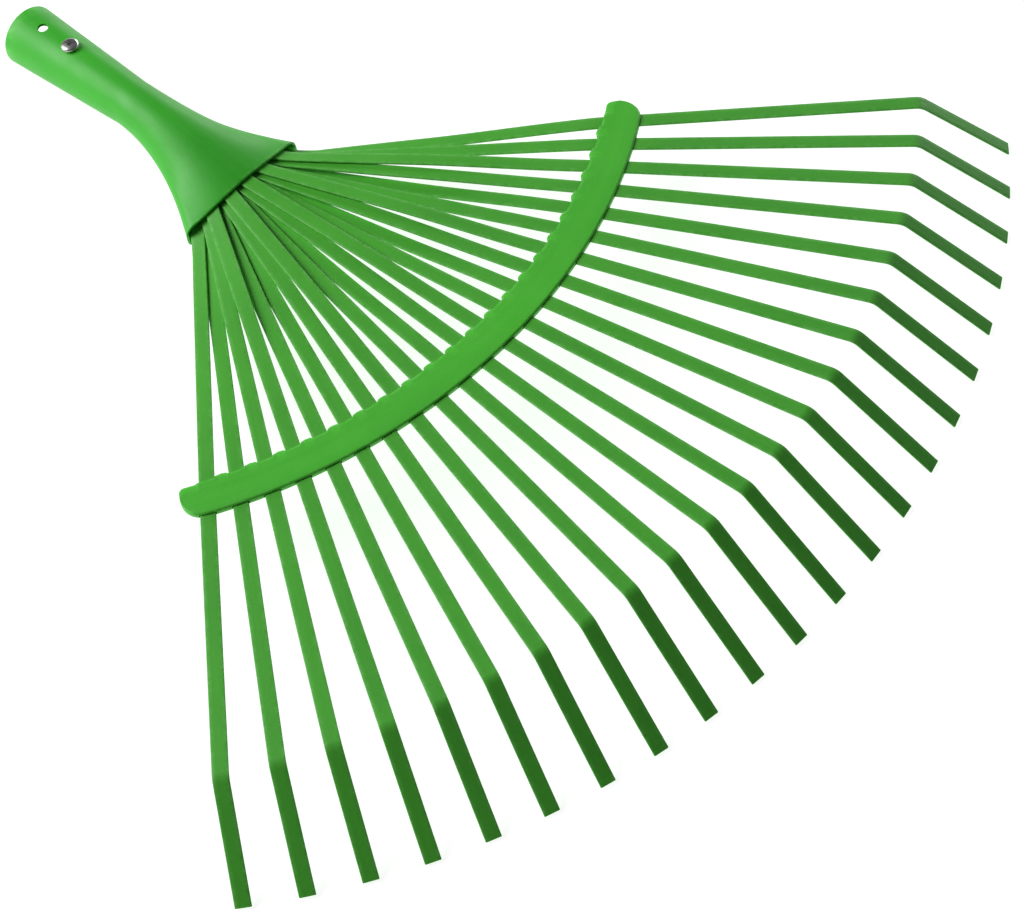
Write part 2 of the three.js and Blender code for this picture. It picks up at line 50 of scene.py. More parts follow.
# ---------- the same driving dimensions as the frame ----------
TINE_COUNT = 22
FAN_ANGLE = math.radians(82.2)
TINE_WIDTH = 6.2
TINE_THICKNESS = 0.9
FAN_REACH = 290.0
ELBOW_ARC_RADIUS = 325.0
BEND_ANGLE = math.radians(41.6)
BEND_RADIUS = 6.0
BENT_LENGTH = 55.0
ROOT_ORDER = (0, 1, 3, 2)
FIT = 0.3
PACK_BEND_RADIUS = 110.0

CROSSBAR_REACH = 174.6
CROSSBAR_ARC_RADIUS = 232.0
CROSSBAR_WIDTH = 15.0
CROSSBAR_SHEET = 0.8
CROSSBAR_OVERHANG = 7.0
CROSSBAR_FRONT_CORNER = 9.0
CROSSBAR_REAR_CORNER = 2.5
SCALLOP_HEIGHT = 1.6

SOCKET_SHEET = 1.2
MOUTH_X = -101.0
MOUTH_RADIUS = 13.4
NECK_X = -35.0
NECK_RADIUS = 10.3
SOCKET_AXIS_HEIGHT = 5.9
SEAM_GAP = 0.8
FLARE_X = 33.0
FLARE_BOW = 4.0
FLARE_GROWTH = 1.7
FLARE_SIDE_ROOM = 0.9
ROOF_CORNER_RADIUS = 4.5
LIP_CORNER_RADIUS = 2.0
ARCH_DROP = 6.5
LIP_WIDTH = 7.5

HOLE_X = -87.0
HOLE_DIAMETER = 4.5
SCREW_X = -69.5
SCREW_HEAD_DIAMETER = 7.6
SCREW_HEAD_HEIGHT = 1.7
SCREW_SHANK_DIAMETER = 4.0
SCREW_LENGTH = 16.0
SCREW_POINT_LENGTH = 4.0

CLAMP_SHEET = 1.5
CLAMP_REAR_X = 8.0
CLAMP_FRONT_SETBACK = 1.0
RIVET_SHANK_DIAMETER = 3.0
RIVET_HEAD_DIAMETER = 6.0
RIVET_HEAD_HEIGHT = 1.5
RIVET_SETBACK = 6.5
RIVET_GIRTH = 0.9

# ---------- derived dimensions ----------
PITCH = FAN_ANGLE / (TINE_COUNT - 1)
HALF_FAN = FAN_ANGLE / 2
ROOT_LAYERS = len(ROOT_ORDER)
LAYER_GAP = TINE_WIDTH**2 / PACK_BEND_RADIUS
LAYER_STEP = TINE_THICKNESS + LAYER_GAP
PACK_HALF = ((ROOT_LAYERS - 1) * LAYER_STEP + TINE_THICKNESS) / 2
ROOT_RADIUS = (TINE_WIDTH + FIT) / (ROOT_LAYERS * PITCH)
SINGLE_LAYER_RADIUS = (TINE_WIDTH + FIT) / PITCH
CROSSBAR_CENTRE_X = CROSSBAR_REACH - CROSSBAR_ARC_RADIUS
CROSSBAR_REAR_RADIUS = CROSSBAR_ARC_RADIUS - CROSSBAR_WIDTH
SLOT_HEIGHT = TINE_THICKNESS + 2 * FIT
CROSSBAR_HALF_HEIGHT = SLOT_HEIGHT / 2 + CROSSBAR_SHEET
CREASE_BLEND = 16 * FLARE_X
CREASE_RUNOUT = 8.0
SLOPE_STEP = 0.5
GIRTH_STEP = 0.004
LIP_DROP = 2.5 * FIT

# ---------- where the fan frame sits ----------
mount = frame["record"]["mounts"][0]
ahead = -Vector(mount["axis"])
up = Vector(frame["joints"][0]["axis"])
FAN_TURN = Matrix((ahead, up.cross(ahead), up)).transposed()
mount_in_fan = Vector((MOUTH_X, MOUTH_RADIUS - SOCKET_SHEET / 2, SOCKET_AXIS_HEIGHT)) * MM
FAN_ORIGIN = Vector(mount["pos_m"]) - FAN_TURN @ mount_in_fan
TO_ROW = Matrix.Translation(FAN_ORIGIN) @ FAN_TURN.to_4x4() @ Matrix.Scale(MM, 4)


def lerp(a, b, share):
    return a + (b - a) * share


def clamp(value, low=0.0, high=1.0):
    return min(max(value, low), high)


def smoothstep(value, start, end):
    share = clamp((value - start) / (end - start))
    return share * share * (3 - 2 * share)


def fan_half_width(x):
    return x * math.tan(HALF_FAN) + TINE_WIDTH / 2 / math.cos(HALF_FAN)


FLARE_HALF_WIDTH = fan_half_width(FLARE_X - FLARE_BOW) + FLARE_SIDE_ROOM


def reach_to_arc(angle, radius, centre_x):
    return centre_x * math.cos(angle) + math.sqrt(radius**2 - (centre_x * math.sin(angle)) ** 2)


def elbow_reach(angle):
    return reach_to_arc(angle, ELBOW_ARC_RADIUS, FAN_REACH - ELBOW_ARC_RADIUS)


def crossbar_rear(angle):
    return reach_to_arc(angle, CROSSBAR_REAR_RADIUS, CROSSBAR_CENTRE_X)


# ---------- ground ----------
MOUTH_BOTTOM = SOCKET_AXIS_HEIGHT - MOUTH_RADIUS


def tip_corner(angle, bent_length):
    reach = elbow_reach(angle) + bent_length * math.cos(BEND_ANGLE)
    inset = TINE_THICKNESS / 2 * math.sin(BEND_ANGLE)
    x = (reach - inset) * math.cos(angle) - TINE_WIDTH / 2 * abs(math.sin(angle))
    z = -bent_length * math.sin(BEND_ANGLE) - TINE_THICKNESS / 2 * math.cos(BEND_ANGLE)
    return x, z


middle_tip = tip_corner(PITCH / 2, BENT_LENGTH)
GROUND_SLOPE = (MOUTH_BOTTOM - middle_tip[1]) / (middle_tip[0] - MOUTH_X)


def bent_length_to_ground(angle):
    x, z = tip_corner(angle, 0)
    clearance = z - (MOUTH_BOTTOM - GROUND_SLOPE * (x - MOUTH_X))
    closing = math.sin(BEND_ANGLE) - GROUND_SLOPE * math.cos(BEND_ANGLE) * math.cos(angle)
    return clearance / closing


# ---------- the pack of tine roots ----------
def pack_height(x, y):
    angle = math.atan2(y, x)
    to_crossbar = crossbar_rear(angle) - FIT
    rise = (to_crossbar - math.hypot(x, y)) / (to_crossbar - FLARE_X / math.cos(angle))
    inside = x * x
    outside = FLARE_X**2 * max(rise, 0)
    mix = clamp(0.5 + (inside - outside) / (2 * CREASE_BLEND))
    smallest = lerp(inside, outside, mix) - CREASE_BLEND * mix * (1 - mix)
    return -ARCH_DROP * (angle / HALF_FAN) ** 2 * (smallest / FLARE_X**2)


def pack_roll(reach, angle):
    x, y = reach * math.cos(angle), reach * math.sin(angle)
    dx, dy = -math.sin(angle) * SLOPE_STEP, math.cos(angle) * SLOPE_STEP
    return math.atan2(pack_height(x + dx, y + dy) - pack_height(x - dx, y - dy), 2 * SLOPE_STEP)


# ---------- mesh helpers ----------
def loft(rings, cap_start=True, cap_end=True):
    """Points and quads through closed rings of equal length, with polygons closing both ends."""
    count = len(rings[0])
    points = [p for ring in rings for p in ring]
    faces = []
    for i in range(len(rings) - 1):
        for j in range(count):
            a = i * count + j
            b = i * count + (j + 1) % count
            faces.append((a, b, b + count, a + count))
    last = (len(rings) - 1) * count
    if cap_start:
        faces.append(tuple(reversed(range(count))))
    if cap_end:
        faces.append(tuple(range(last, last + count)))
    return points, faces


def new_mesh(name, points, faces):
    mesh = bpy.data.meshes.new(name)
    mesh.from_pydata([tuple(p) for p in points], [], faces)
    mesh.validate()
    shape = bmesh.new()
    shape.from_mesh(mesh)
    bmesh.ops.recalc_face_normals(shape, faces=shape.faces)
    shape.to_mesh(mesh)
    shape.free()
    return mesh


def set_point_values(mesh, name, values):
    layer = mesh.attributes.new(name, "FLOAT", "POINT")
    layer.data.foreach_set("value", np.asarray(values, np.float32))


def set_point_vectors(mesh, name, values):
    layer = mesh.attributes.new(name, "FLOAT_VECTOR", "POINT")
    layer.data.foreach_set("vector", np.asarray(values, np.float32).ravel())


def cut(mesh, cutters):
    """The mesh with every cutter mesh taken out of it."""
    base = bpy.data.objects.new("cut_base", mesh)
    bpy.context.scene.collection.objects.link(base)
    tools = []
    for cutter in cutters:
        tool = bpy.data.objects.new("cutter", cutter)
        bpy.context.scene.collection.objects.link(tool)
        modifier = base.modifiers.new("cut", "BOOLEAN")
        modifier.object = tool
        modifier.operation = "DIFFERENCE"
        modifier.solver = "EXACT"
        tools.append(tool)
    bpy.context.view_layer.update()
    evaluated = base.evaluated_get(bpy.context.evaluated_depsgraph_get())
    result = bpy.data.meshes.new_from_object(evaluated)
    for tool in [*tools, base]:
        bpy.data.objects.remove(tool)
    return result


def cylinder_mesh(diameter, bottom, top, place=Matrix.Identity(4), sides=64):
    ring = [2 * math.pi * i / sides for i in range(sides)]
    rings = [
        [place @ Vector((diameter / 2 * math.cos(a), diameter / 2 * math.sin(a), z)) for a in ring]
        for z in (bottom, top)
    ]
    return new_mesh("cylinder", *loft(rings))


def add_piece(mesh, name, material, node, body="head", crease=38):
    """Puts a finished fan-frame mesh into the scene in place of one frame node."""
    mesh.name = name
    mesh.transform(TO_ROW)
    mesh.materials.clear()
    mesh.materials.append(material)
    mesh.polygons.foreach_set("material_index", [0] * len(mesh.polygons))
    mesh.polygons.foreach_set("use_smooth", [True] * len(mesh.polygons))
    mesh.set_sharp_from_angle(angle=math.radians(crease))
    mesh.update()
    piece = bpy.data.objects.new(name, mesh)
    bpy.context.scene.collection.objects.link(piece)
    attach(piece, body)
    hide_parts(node)
    return piece


# ---------- materials ----------
def node_tree(name):
    material = bpy.data.materials.new(name)
    material.use_nodes = True
    tree = material.node_tree
    shader = tree.nodes["Principled BSDF"]
    return material, tree, shader


def add_node(tree, kind, inputs=None, **settings):
    node = tree.nodes.new(kind)
    for key, value in settings.items():
        setattr(node, key, value)
    for key, value in (inputs or {}).items():
        if isinstance(value, bpy.types.NodeSocket):
            tree.links.new(value, node.inputs[key])
        else:
            node.inputs[key].default_value = value
    return node


def noise(tree, vector, scale, detail=3.0, roughness=0.55):
    made = add_node(
        tree,
        "ShaderNodeTexNoise",
        {"Vector": vector, "Scale": scale, "Detail": detail, "Roughness": roughness},
    )
    return made.outputs["Fac"]


def remap(tree, value, low, high, to_low, to_high):
    made = add_node(
        tree,
        "ShaderNodeMapRange",
        {"Value": value, "From Min": low, "From Max": high, "To Min": to_low, "To Max": to_high},
    )
    return made.outputs["Result"]


def math_node(tree, operation, a, b):
    return add_node(tree, "ShaderNodeMath", {0: a, 1: b}, operation=operation).outputs[0]


def mix_colour(tree, factor, a, b):
    made = tree.nodes.new("ShaderNodeMix")
    made.data_type = "RGBA"
    sockets = {"Factor": made.inputs[0], "A": made.inputs[6], "B": made.inputs[7]}
    for key, value in (("Factor", factor), ("A", a), ("B", b)):
        if isinstance(value, bpy.types.NodeSocket):
            tree.links.new(value, sockets[key])
        else:
            sockets[key].default_value = value
    return made.outputs[2]


def enamel(name, colour, deep, thin, roughness, coat, coat_roughness, peel):
    """Sprayed enamel: colour drifts between colour and deep, and it thins out to thin on edges."""
    material, tree, shader = node_tree(name)
    place = add_node(tree, "ShaderNodeTexCoord").outputs["Object"]
    flow = add_node(tree, "ShaderNodeAttribute", attribute_name="flow").outputs["Vector"]
    edge = add_node(tree, "ShaderNodeAttribute", attribute_name="edge").outputs["Fac"]
    stretch = add_node(tree, "ShaderNodeMapping", {"Vector": flow, "Scale": (9.0, 420.0, 420.0)})
    drift = noise(tree, place, 26.0, 3.0)
    streak = noise(tree, stretch.outputs["Vector"], 1.0, 2.0)
    specks = noise(tree, place, 1400.0, 2.0)
    pool = math_node(
        tree,
        "ADD",
        remap(tree, drift, 0.35, 0.65, 0.0, 0.7),
        remap(tree, streak, 0.4, 0.62, 0.0, 0.3),
    )
    body = mix_colour(tree, pool, colour, deep)
    grain = remap(tree, specks, 0.62, 0.74, 0.0, 0.16)
    body = mix_colour(tree, grain, body, thin)
    ragged = noise(tree, place, 300.0, 4.0, 0.65)
    worn = math_node(tree, "MULTIPLY", edge, remap(tree, ragged, 0.4, 0.62, 0.0, 0.8))
    tree.links.new(mix_colour(tree, worn, body, thin), shader.inputs["Base Color"])
    gloss = remap(tree, noise(tree, place, 90.0, 4.0), 0.3, 0.7, roughness - 0.05, roughness + 0.07)
    tree.links.new(gloss, shader.inputs["Roughness"])
    shader.inputs["Coat Weight"].default_value = coat
    shader.inputs["Coat Roughness"].default_value = coat_roughness
    shader.inputs["IOR"].default_value = 1.5
    shader.inputs["Specular IOR Level"].default_value = 0.35
    orange_peel = noise(tree, place, 620.0, 2.0, 0.5)
    bump = add_node(
        tree,
        "ShaderNodeBump",
        {"Height": orange_peel, "Strength": peel, "Distance": 0.00012},
    )
    lumps = add_node(
        tree,
        "ShaderNodeBump",
        {"Height": noise(tree, place, 95.0, 2.0), "Strength": 0.1, "Distance": 0.00025,
         "Normal": bump.outputs["Normal"]},
    )
    tree.links.new(lumps.outputs["Normal"], shader.inputs["Normal"])
    tree.links.new(bump.outputs["Normal"], shader.inputs["Coat Normal"])
    return material


def zinc_plate(name):
    """Bright zinc plating with a fine grain and dull patches."""
    material, tree, shader = node_tree(name)
    place = add_node(tree, "ShaderNodeTexCoord").outputs["Object"]
    patches = noise(tree, place, 420.0, 4.0)
    fine = noise(tree, place, 5200.0, 2.0)
    dulling = remap(tree, patches, 0.35, 0.65, 0.0, 1.0)
    tint = mix_colour(tree, dulling, (0.60, 0.59, 0.56, 1), (0.40, 0.40, 0.39, 1))
    tree.links.new(tint, shader.inputs["Base Color"])
    shader.inputs["Metallic"].default_value = 1.0
    tree.links.new(remap(tree, patches, 0.3, 0.7, 0.24, 0.45), shader.inputs["Roughness"])
    bump = add_node(
        tree, "ShaderNodeBump", {"Height": fine, "Strength": 0.3, "Distance": 0.00004}
    )
    tree.links.new(bump.outputs["Normal"], shader.inputs["Normal"])
    return material


SOCKET_GREEN = enamel(
    "socket_enamel",
    colour=(0.046, 0.49, 0.024, 1),
    deep=(0.038, 0.43, 0.020, 1),
    thin=(0.11, 0.60, 0.07, 1),
    roughness=0.50,
    coat=0.08,
    coat_roughness=0.35,
    peel=0.35,
)
TINE_GREEN = enamel(
    "tine_enamel",
    colour=(0.072, 0.44, 0.030, 1),
    deep=(0.058, 0.38, 0.026, 1),
    thin=(0.13, 0.50, 0.085, 1),
    roughness=0.52,
    coat=0.1,
    coat_roughness=0.3,
    peel=0.5,
)
BAR_GREEN = enamel(
    "bar_enamel",
    colour=(0.078, 0.56, 0.032, 1),
    deep=(0.064, 0.49, 0.028, 1),
    thin=(0.14, 0.62, 0.085, 1),
    roughness=0.50,
    coat=0.1,
    coat_roughness=0.3,
    peel=0.5,
)
ZINC = zinc_plate("zinc_steel")


# ---------- tines ----------
EDGE_RADIUS = 0.4  # rolled edges of the strip
TIP_CHAMFER = 0.2


def strip_section(half_width, half_thickness, radius):
    """Round-edged strip section as (across, up, nearness to an edge), anticlockwise."""
    corner_steps = 5
    flat_steps = 4
    section = []
    corners = [(1, 1, 0), (-1, 1, 1), (-1, -1, 2), (1, -1, 3)]
    for index, (s, f, quarter) in enumerate(corners):
        cx, cy = s * (half_width - radius), f * (half_thickness - radius)
        for i in range(corner_steps):
            a = math.pi / 2 * (quarter + i / (corner_steps - 1))
            section.append((cx + radius * math.cos(a), cy + radius * math.sin(a), 1.0))
        if index in (0, 2):
            end = -s * (half_width - radius)
            for i in range(1, flat_steps):
                section.append((lerp(cx, end, i / flat_steps), f * half_thickness, 0.0))
    return section


def tine_angle(k):
    return ((TINE_COUNT - 1) / 2 - k) * PITCH


def tine_stations(angle, layer):
    """(reach, height, roll, turn) along the centre line of one tine."""
    layer_height = (layer - (ROOT_LAYERS - 1) / 2) * LAYER_STEP
    ease_end = crossbar_rear(angle) - 2 * SCALLOP_HEIGHT
    ease_start = min(SINGLE_LAYER_RADIUS, ease_end)
    curved_end = FLARE_X / math.cos(HALF_FAN) + CREASE_RUNOUT
    tangent = BEND_RADIUS * math.tan(BEND_ANGLE / 2)
    elbow = elbow_reach(angle)
    stations = []

    def add_run(start, end, steps):
        for i in range(steps):
            reach = lerp(start, end, i / steps)
            ease = 1 - smoothstep(reach, ease_start, ease_end)
            pack = pack_height(reach * math.cos(angle), reach * math.sin(angle))
            stations.append((reach, pack + layer_height * ease, pack_roll(reach, angle), 0.0))

    add_run(ROOT_RADIUS, curved_end, 24)
    add_run(curved_end, ease_start, 6)
    add_run(ease_start, ease_end, 14)
    add_run(ease_end, elbow - tangent, 8)
    bend_steps = 14
    for i in range(bend_steps + 1):
        turn = BEND_ANGLE * i / bend_steps
        reach = elbow - tangent + BEND_RADIUS * math.sin(turn)
        stations.append((reach, -BEND_RADIUS * (1 - math.cos(turn)), 0.0, turn))
    bent = bent_length_to_ground(angle)
    start = stations[-1]
    tip = (elbow + bent * math.cos(BEND_ANGLE), -bent * math.sin(BEND_ANGLE))
    length = math.hypot(tip[0] - start[0], tip[1] - start[1])
    for share in (0.2, 0.4, 0.6, 0.8, 1 - 4 / length, 1 - TIP_CHAMFER / length, 1.0):
        reach, height = lerp(start[0], tip[0], share), lerp(start[1], tip[1], share)
        stations.append((reach, height, 0.0, BEND_ANGLE))
    return stations


def build_tine(k):
    angle = tine_angle(k)
    along = Vector((math.cos(angle), math.sin(angle), 0))
    across = Vector((-math.sin(angle), math.cos(angle), 0))
    upward = Vector((0, 0, 1))
    full = strip_section(TINE_WIDTH / 2, TINE_THICKNESS / 2, EDGE_RADIUS)
    small = strip_section(
        TINE_WIDTH / 2 - TIP_CHAMFER, TINE_THICKNESS / 2 - TIP_CHAMFER, EDGE_RADIUS - TIP_CHAMFER
    )
    stations = tine_stations(angle, ROOT_ORDER[k % ROOT_LAYERS])
    rings, edge, flow = [], [], []
    run = 0.0
    before = None
    for index, (reach, height, roll, turn) in enumerate(stations):
        centre = along * reach + upward * height
        run += (centre - before).length if before else 0.0
        before = centre
        side = across * math.cos(roll) + upward * math.sin(roll)
        face = upward * math.cos(roll) - across * math.sin(roll)
        face = face * math.cos(turn) + along * math.sin(turn)
        at_end = index in (0, len(stations) - 1)
        section = small if at_end else full
        rings.append([centre + side * s + face * f for s, f, _ in section])
        for s, f, near in section:
            edge.append(1.0 if at_end else near)
            flow.append((run * MM, s * MM, f * MM + 0.05 * k))
    mesh = new_mesh("tine", *loft(rings))
    set_point_values(mesh, "edge", edge)
    set_point_vectors(mesh, "flow", flow)
    label = f"{k + 1:02d}"
    return add_piece(mesh, f"spring_tine_{label}", TINE_GREEN, f"tine_{label}")


# ---------- crossbar ----------
BAR_FOLD_RADIUS = 1.1
BAR_CUT_RADIUS = 0.25
BAR_PINCH_RUN = 3.2  # how far in from the rear edge the flaps start to close
BAR_PINCH_SIDE = 1.3  # length of the slope down from a tine to a tab
BAR_SHUT_GAP = 0.03  # half of what stays open between two pinched flaps
BAR_FOLD_STEPS = 6
BAR_FOLD_WEAR = 0.6  # how much of the thin edge colour the fold gets
BAR_TOP_STEPS = 7
BAR_COLUMNS_PER_TINE = 18
BAR_TAIL_STEPS = 20
SLOT_CUT_IN = 3  # where a slot cutter starts, behind the front edge
SLOT_CUT_LENGTH = 10


def crossbar_angle(fan_angle, radius):
    reach = reach_to_arc(fan_angle, radius, CROSSBAR_CENTRE_X)
    return math.atan2(
        reach * math.sin(fan_angle), reach * math.cos(fan_angle) - CROSSBAR_CENTRE_X
    )


def gap_share(turn):
    """Distance in mm from the bar angle turn, at the rear edge, to the side of the nearest tine,
    the half width of the gap there, and whether turn lies between the two outer tines."""
    x = CROSSBAR_CENTRE_X + CROSSBAR_REAR_RADIUS * math.cos(turn)
    y = CROSSBAR_REAR_RADIUS * math.sin(turn)
    fan = math.atan2(y, x)
    reach = math.hypot(x, y)
    place = fan / PITCH + (TINE_COUNT - 1) / 2
    nearest = clamp(round(place), 0, TINE_COUNT - 1)
    from_side = abs(place - nearest) * PITCH * reach - TINE_WIDTH / 2
    half_gap = (PITCH * reach - TINE_WIDTH) / 2
    return from_side, half_gap, 0 <= place <= TINE_COUNT - 1


def bar_section(turn, rear, front):
    """Upper half of the folded strip's section at one bar angle: its outside from the rear edge
    to the fold, and its inside back from the fold, each as (radius, height, edge)."""
    from_side = gap_share(turn)[0]
    closing = smoothstep(from_side, FIT, FIT + BAR_PINCH_SIDE)
    top = CROSSBAR_HALF_HEIGHT
    shut = CROSSBAR_SHEET + BAR_SHUT_GAP

    def outer_height(radius):
        run = smoothstep(radius, rear, rear + BAR_PINCH_RUN)
        return lerp(lerp(top, shut, closing), top, run)

    outside, inside = [], []
    width = front - rear
    cut_r = min(BAR_CUT_RADIUS, width / 4)
    fold = min(BAR_FOLD_RADIUS, width / 3)
    for a in (0.0, 0.5, 1.0):
        bend = math.pi / 2 * a
        outside.append((rear + cut_r * (1 - math.sin(bend)), -cut_r * (1 - math.cos(bend)), 1.0))
    outside = [(r, outer_height(r) + h, e) for r, h, e in reversed(outside)]
    for i in range(1, BAR_TOP_STEPS + 1):
        r = lerp(rear + cut_r, front - fold, (i / BAR_TOP_STEPS) ** 1.3)
        outside.append((r, outer_height(r), 0.0))
    for i in range(1, BAR_FOLD_STEPS + 1):
        bend = math.pi / 2 * i / BAR_FOLD_STEPS
        radius = front - fold + fold * math.sin(bend)
        outside.append((radius, top - fold * (1 - math.cos(bend)), BAR_FOLD_WEAR))
    inner_front = front - CROSSBAR_SHEET
    inner_fold = max(fold - CROSSBAR_SHEET, 0.05)
    for i in range(3):
        bend = math.pi / 2 * i / 2
        inside.append((
            inner_front - inner_fold + inner_fold * math.cos(bend),
            SLOT_HEIGHT / 2 - inner_fold + inner_fold * math.sin(bend),
            0.0,
        ))
    for i in range(1, BAR_TOP_STEPS + 1):
        r = lerp(inner_front - inner_fold, rear + cut_r, i / BAR_TOP_STEPS)
        inside.append((r, outer_height(r) - CROSSBAR_SHEET, 0.0))
    inside.append((rear, outer_height(rear) - CROSSBAR_SHEET + cut_r, 1.0))
    return outside, inside


def build_crossbar():
    middle = (CROSSBAR_ARC_RADIUS + CROSSBAR_REAR_RADIUS) / 2
    half = CROSSBAR_WIDTH / 2
    overhang = (TINE_WIDTH / 2 + CROSSBAR_OVERHANG - CROSSBAR_FRONT_CORNER) / middle
    corner_start = crossbar_angle(HALF_FAN, middle) + overhang
    columns = TINE_COUNT * BAR_COLUMNS_PER_TINE
    turns = [lerp(-corner_start, corner_start, i / columns) for i in range(columns + 1)]
    tail = [
        CROSSBAR_FRONT_CORNER * math.sin(math.pi / 2 * i / BAR_TAIL_STEPS) / middle
        for i in range(1, BAR_TAIL_STEPS + 1)
    ]
    turns = [-corner_start - t for t in reversed(tail)] + turns + [corner_start + t for t in tail]
    rings, edge, flow = [], [], []
    for turn in turns:
        past = max(abs(turn) - corner_start, 0) * middle
        front_drop = math.sqrt(max(CROSSBAR_FRONT_CORNER**2 - past**2, 0))
        front = middle + half - CROSSBAR_FRONT_CORNER + front_drop
        into_rear = max(past - CROSSBAR_FRONT_CORNER + CROSSBAR_REAR_CORNER, 0)
        rear_drop = math.sqrt(max(CROSSBAR_REAR_CORNER**2 - into_rear**2, 0))
        rear = middle - half + CROSSBAR_REAR_CORNER - rear_drop
        from_side, half_gap, between = gap_share(turn)
        if between and from_side > 0:
            rear -= SCALLOP_HEIGHT * math.sin(math.pi / 2 * clamp(from_side / half_gap)) ** 0.6
        outside, inside = bar_section(turn, rear, front)
        ring = outside + [(r, -z, e) for r, z, e in reversed(outside)]
        ring += [(r, -z, e) for r, z, e in reversed(inside)] + inside
        cos, sin = math.cos(turn), math.sin(turn)
        rings.append([Vector((CROSSBAR_CENTRE_X + r * cos, r * sin, z)) for r, z, _ in ring])
        edge += [e for _, _, e in ring]
        flow += [(turn * middle * MM, (r - middle) * MM, z * MM) for r, z, _ in ring]
    mesh = new_mesh("crossbar", *loft(rings))
    set_point_values(mesh, "edge", edge)
    set_point_vectors(mesh, "flow", flow)
    cutters = []
    for k in range(TINE_COUNT):
        angle = tine_angle(k)
        start = reach_to_arc(angle, CROSSBAR_ARC_RADIUS - SLOT_CUT_IN, CROSSBAR_CENTRE_X)
        section = strip_section(TINE_WIDTH / 2 + FIT, SLOT_HEIGHT / 2, EDGE_RADIUS)
        along = Vector((math.cos(angle), math.sin(angle), 0))
        across = Vector((-math.sin(angle), math.cos(angle), 0))
        slot_rings = [
            [along * reach + across * s + Vector((0, 0, f)) for s, f, _ in section]
            for reach in (start, start + SLOT_CUT_LENGTH)
        ]
        cutters.append(new_mesh("slot", *loft(slot_rings)))
    mesh = cut(mesh, cutters)
    return add_piece(mesh, "folded_crossbar", BAR_GREEN, "crossbar", crease=32)


# ---------- socket ----------
def edge_setback(y):
    """How far the front edge of the flare is set back beside the middle."""
    return FLARE_BOW * (y / FLARE_HALF_WIDTH) ** 2


def flared_half_section():
    """Half of the flared section from the crown to the lip, as points and running lengths."""
    half_sheet = SOCKET_SHEET / 2
    side_y = FLARE_HALF_WIDTH + half_sheet

    def pack_at_edge(y):
        return pack_height(FLARE_X - edge_setback(y), y)

    def roof(y):
        return pack_at_edge(y) + PACK_HALF + FIT + half_sheet

    def lip(y):
        return pack_at_edge(y) - PACK_HALF - CLAMP_SHEET - LIP_DROP - half_sheet

    roof_end = side_y - ROOF_CORNER_RADIUS
    lip_start = side_y - LIP_CORNER_RADIUS

    def quadratic(a, b, c, steps=12):
        for i in range(1, steps + 1):
            t = i / steps
            yield tuple((1 - t) ** 2 * a[n] + 2 * t * (1 - t) * b[n] + t * t * c[n] for n in (0, 1))

    points = [(roof_end * i / 40, roof(roof_end * i / 40)) for i in range(41)]
    side_top = (side_y, roof(side_y) - ROOF_CORNER_RADIUS)
    points += quadratic(points[-1], (side_y, roof(side_y)), side_top)
    low_start = (side_y, lip(side_y) + LIP_CORNER_RADIUS)
    points.append(low_start)
    points += quadratic(low_start, (side_y, lip(side_y)), (lip_start, lip(lip_start)))
    points.append((lip_start - LIP_WIDTH, lip(lip_start - LIP_WIDTH)))
    lengths = [0.0]
    for a, b in zip(points, points[1:]):
        lengths.append(lengths[-1] + math.dist(a, b))
    return np.array(points), np.array(lengths)


FLARED_POINTS, FLARED_LENGTHS = flared_half_section()


def flare_share(x):
    return clamp((x - NECK_X) / (FLARE_X - NECK_X)) ** FLARE_GROWTH


def tube_radius(x):
    share = clamp((x - MOUTH_X) / (NECK_X - MOUTH_X))
    return lerp(MOUTH_RADIUS, NECK_RADIUS, share) - SOCKET_SHEET / 2


def sheet_point(x, girth):
    """Middle of the sheet at station x; girth runs from -1 at one edge over the crown 0 to 1."""
    radius = tube_radius(x)
    turn = girth * (math.pi - SEAM_GAP / 2 / radius)
    along = abs(girth) * FLARED_LENGTHS[-1]
    flat_y = np.interp(along, FLARED_LENGTHS, FLARED_POINTS[:, 0])
    flat_z = np.interp(along, FLARED_LENGTHS, FLARED_POINTS[:, 1])
    share = flare_share(x)
    y = lerp(radius * math.sin(turn), math.copysign(flat_y, girth), share)
    z = lerp(SOCKET_AXIS_HEIGHT + radius * math.cos(turn), flat_z, share)
    return Vector((x - share * edge_setback(flat_y), y, z))


def sheet_normal(x, girth):
    ahead_point = sheet_point(x, min(girth + GIRTH_STEP, 1))
    behind_point = sheet_point(x, max(girth - GIRTH_STEP, -1))
    change = ahead_point - behind_point
    return Vector((0, -change.z, change.y)).normalized()


SHEET_EDGE_RADIUS = 0.42
SEAM_THINNING = 0.7  # share of the sheet's thickness left at the butt seam and the lip edges


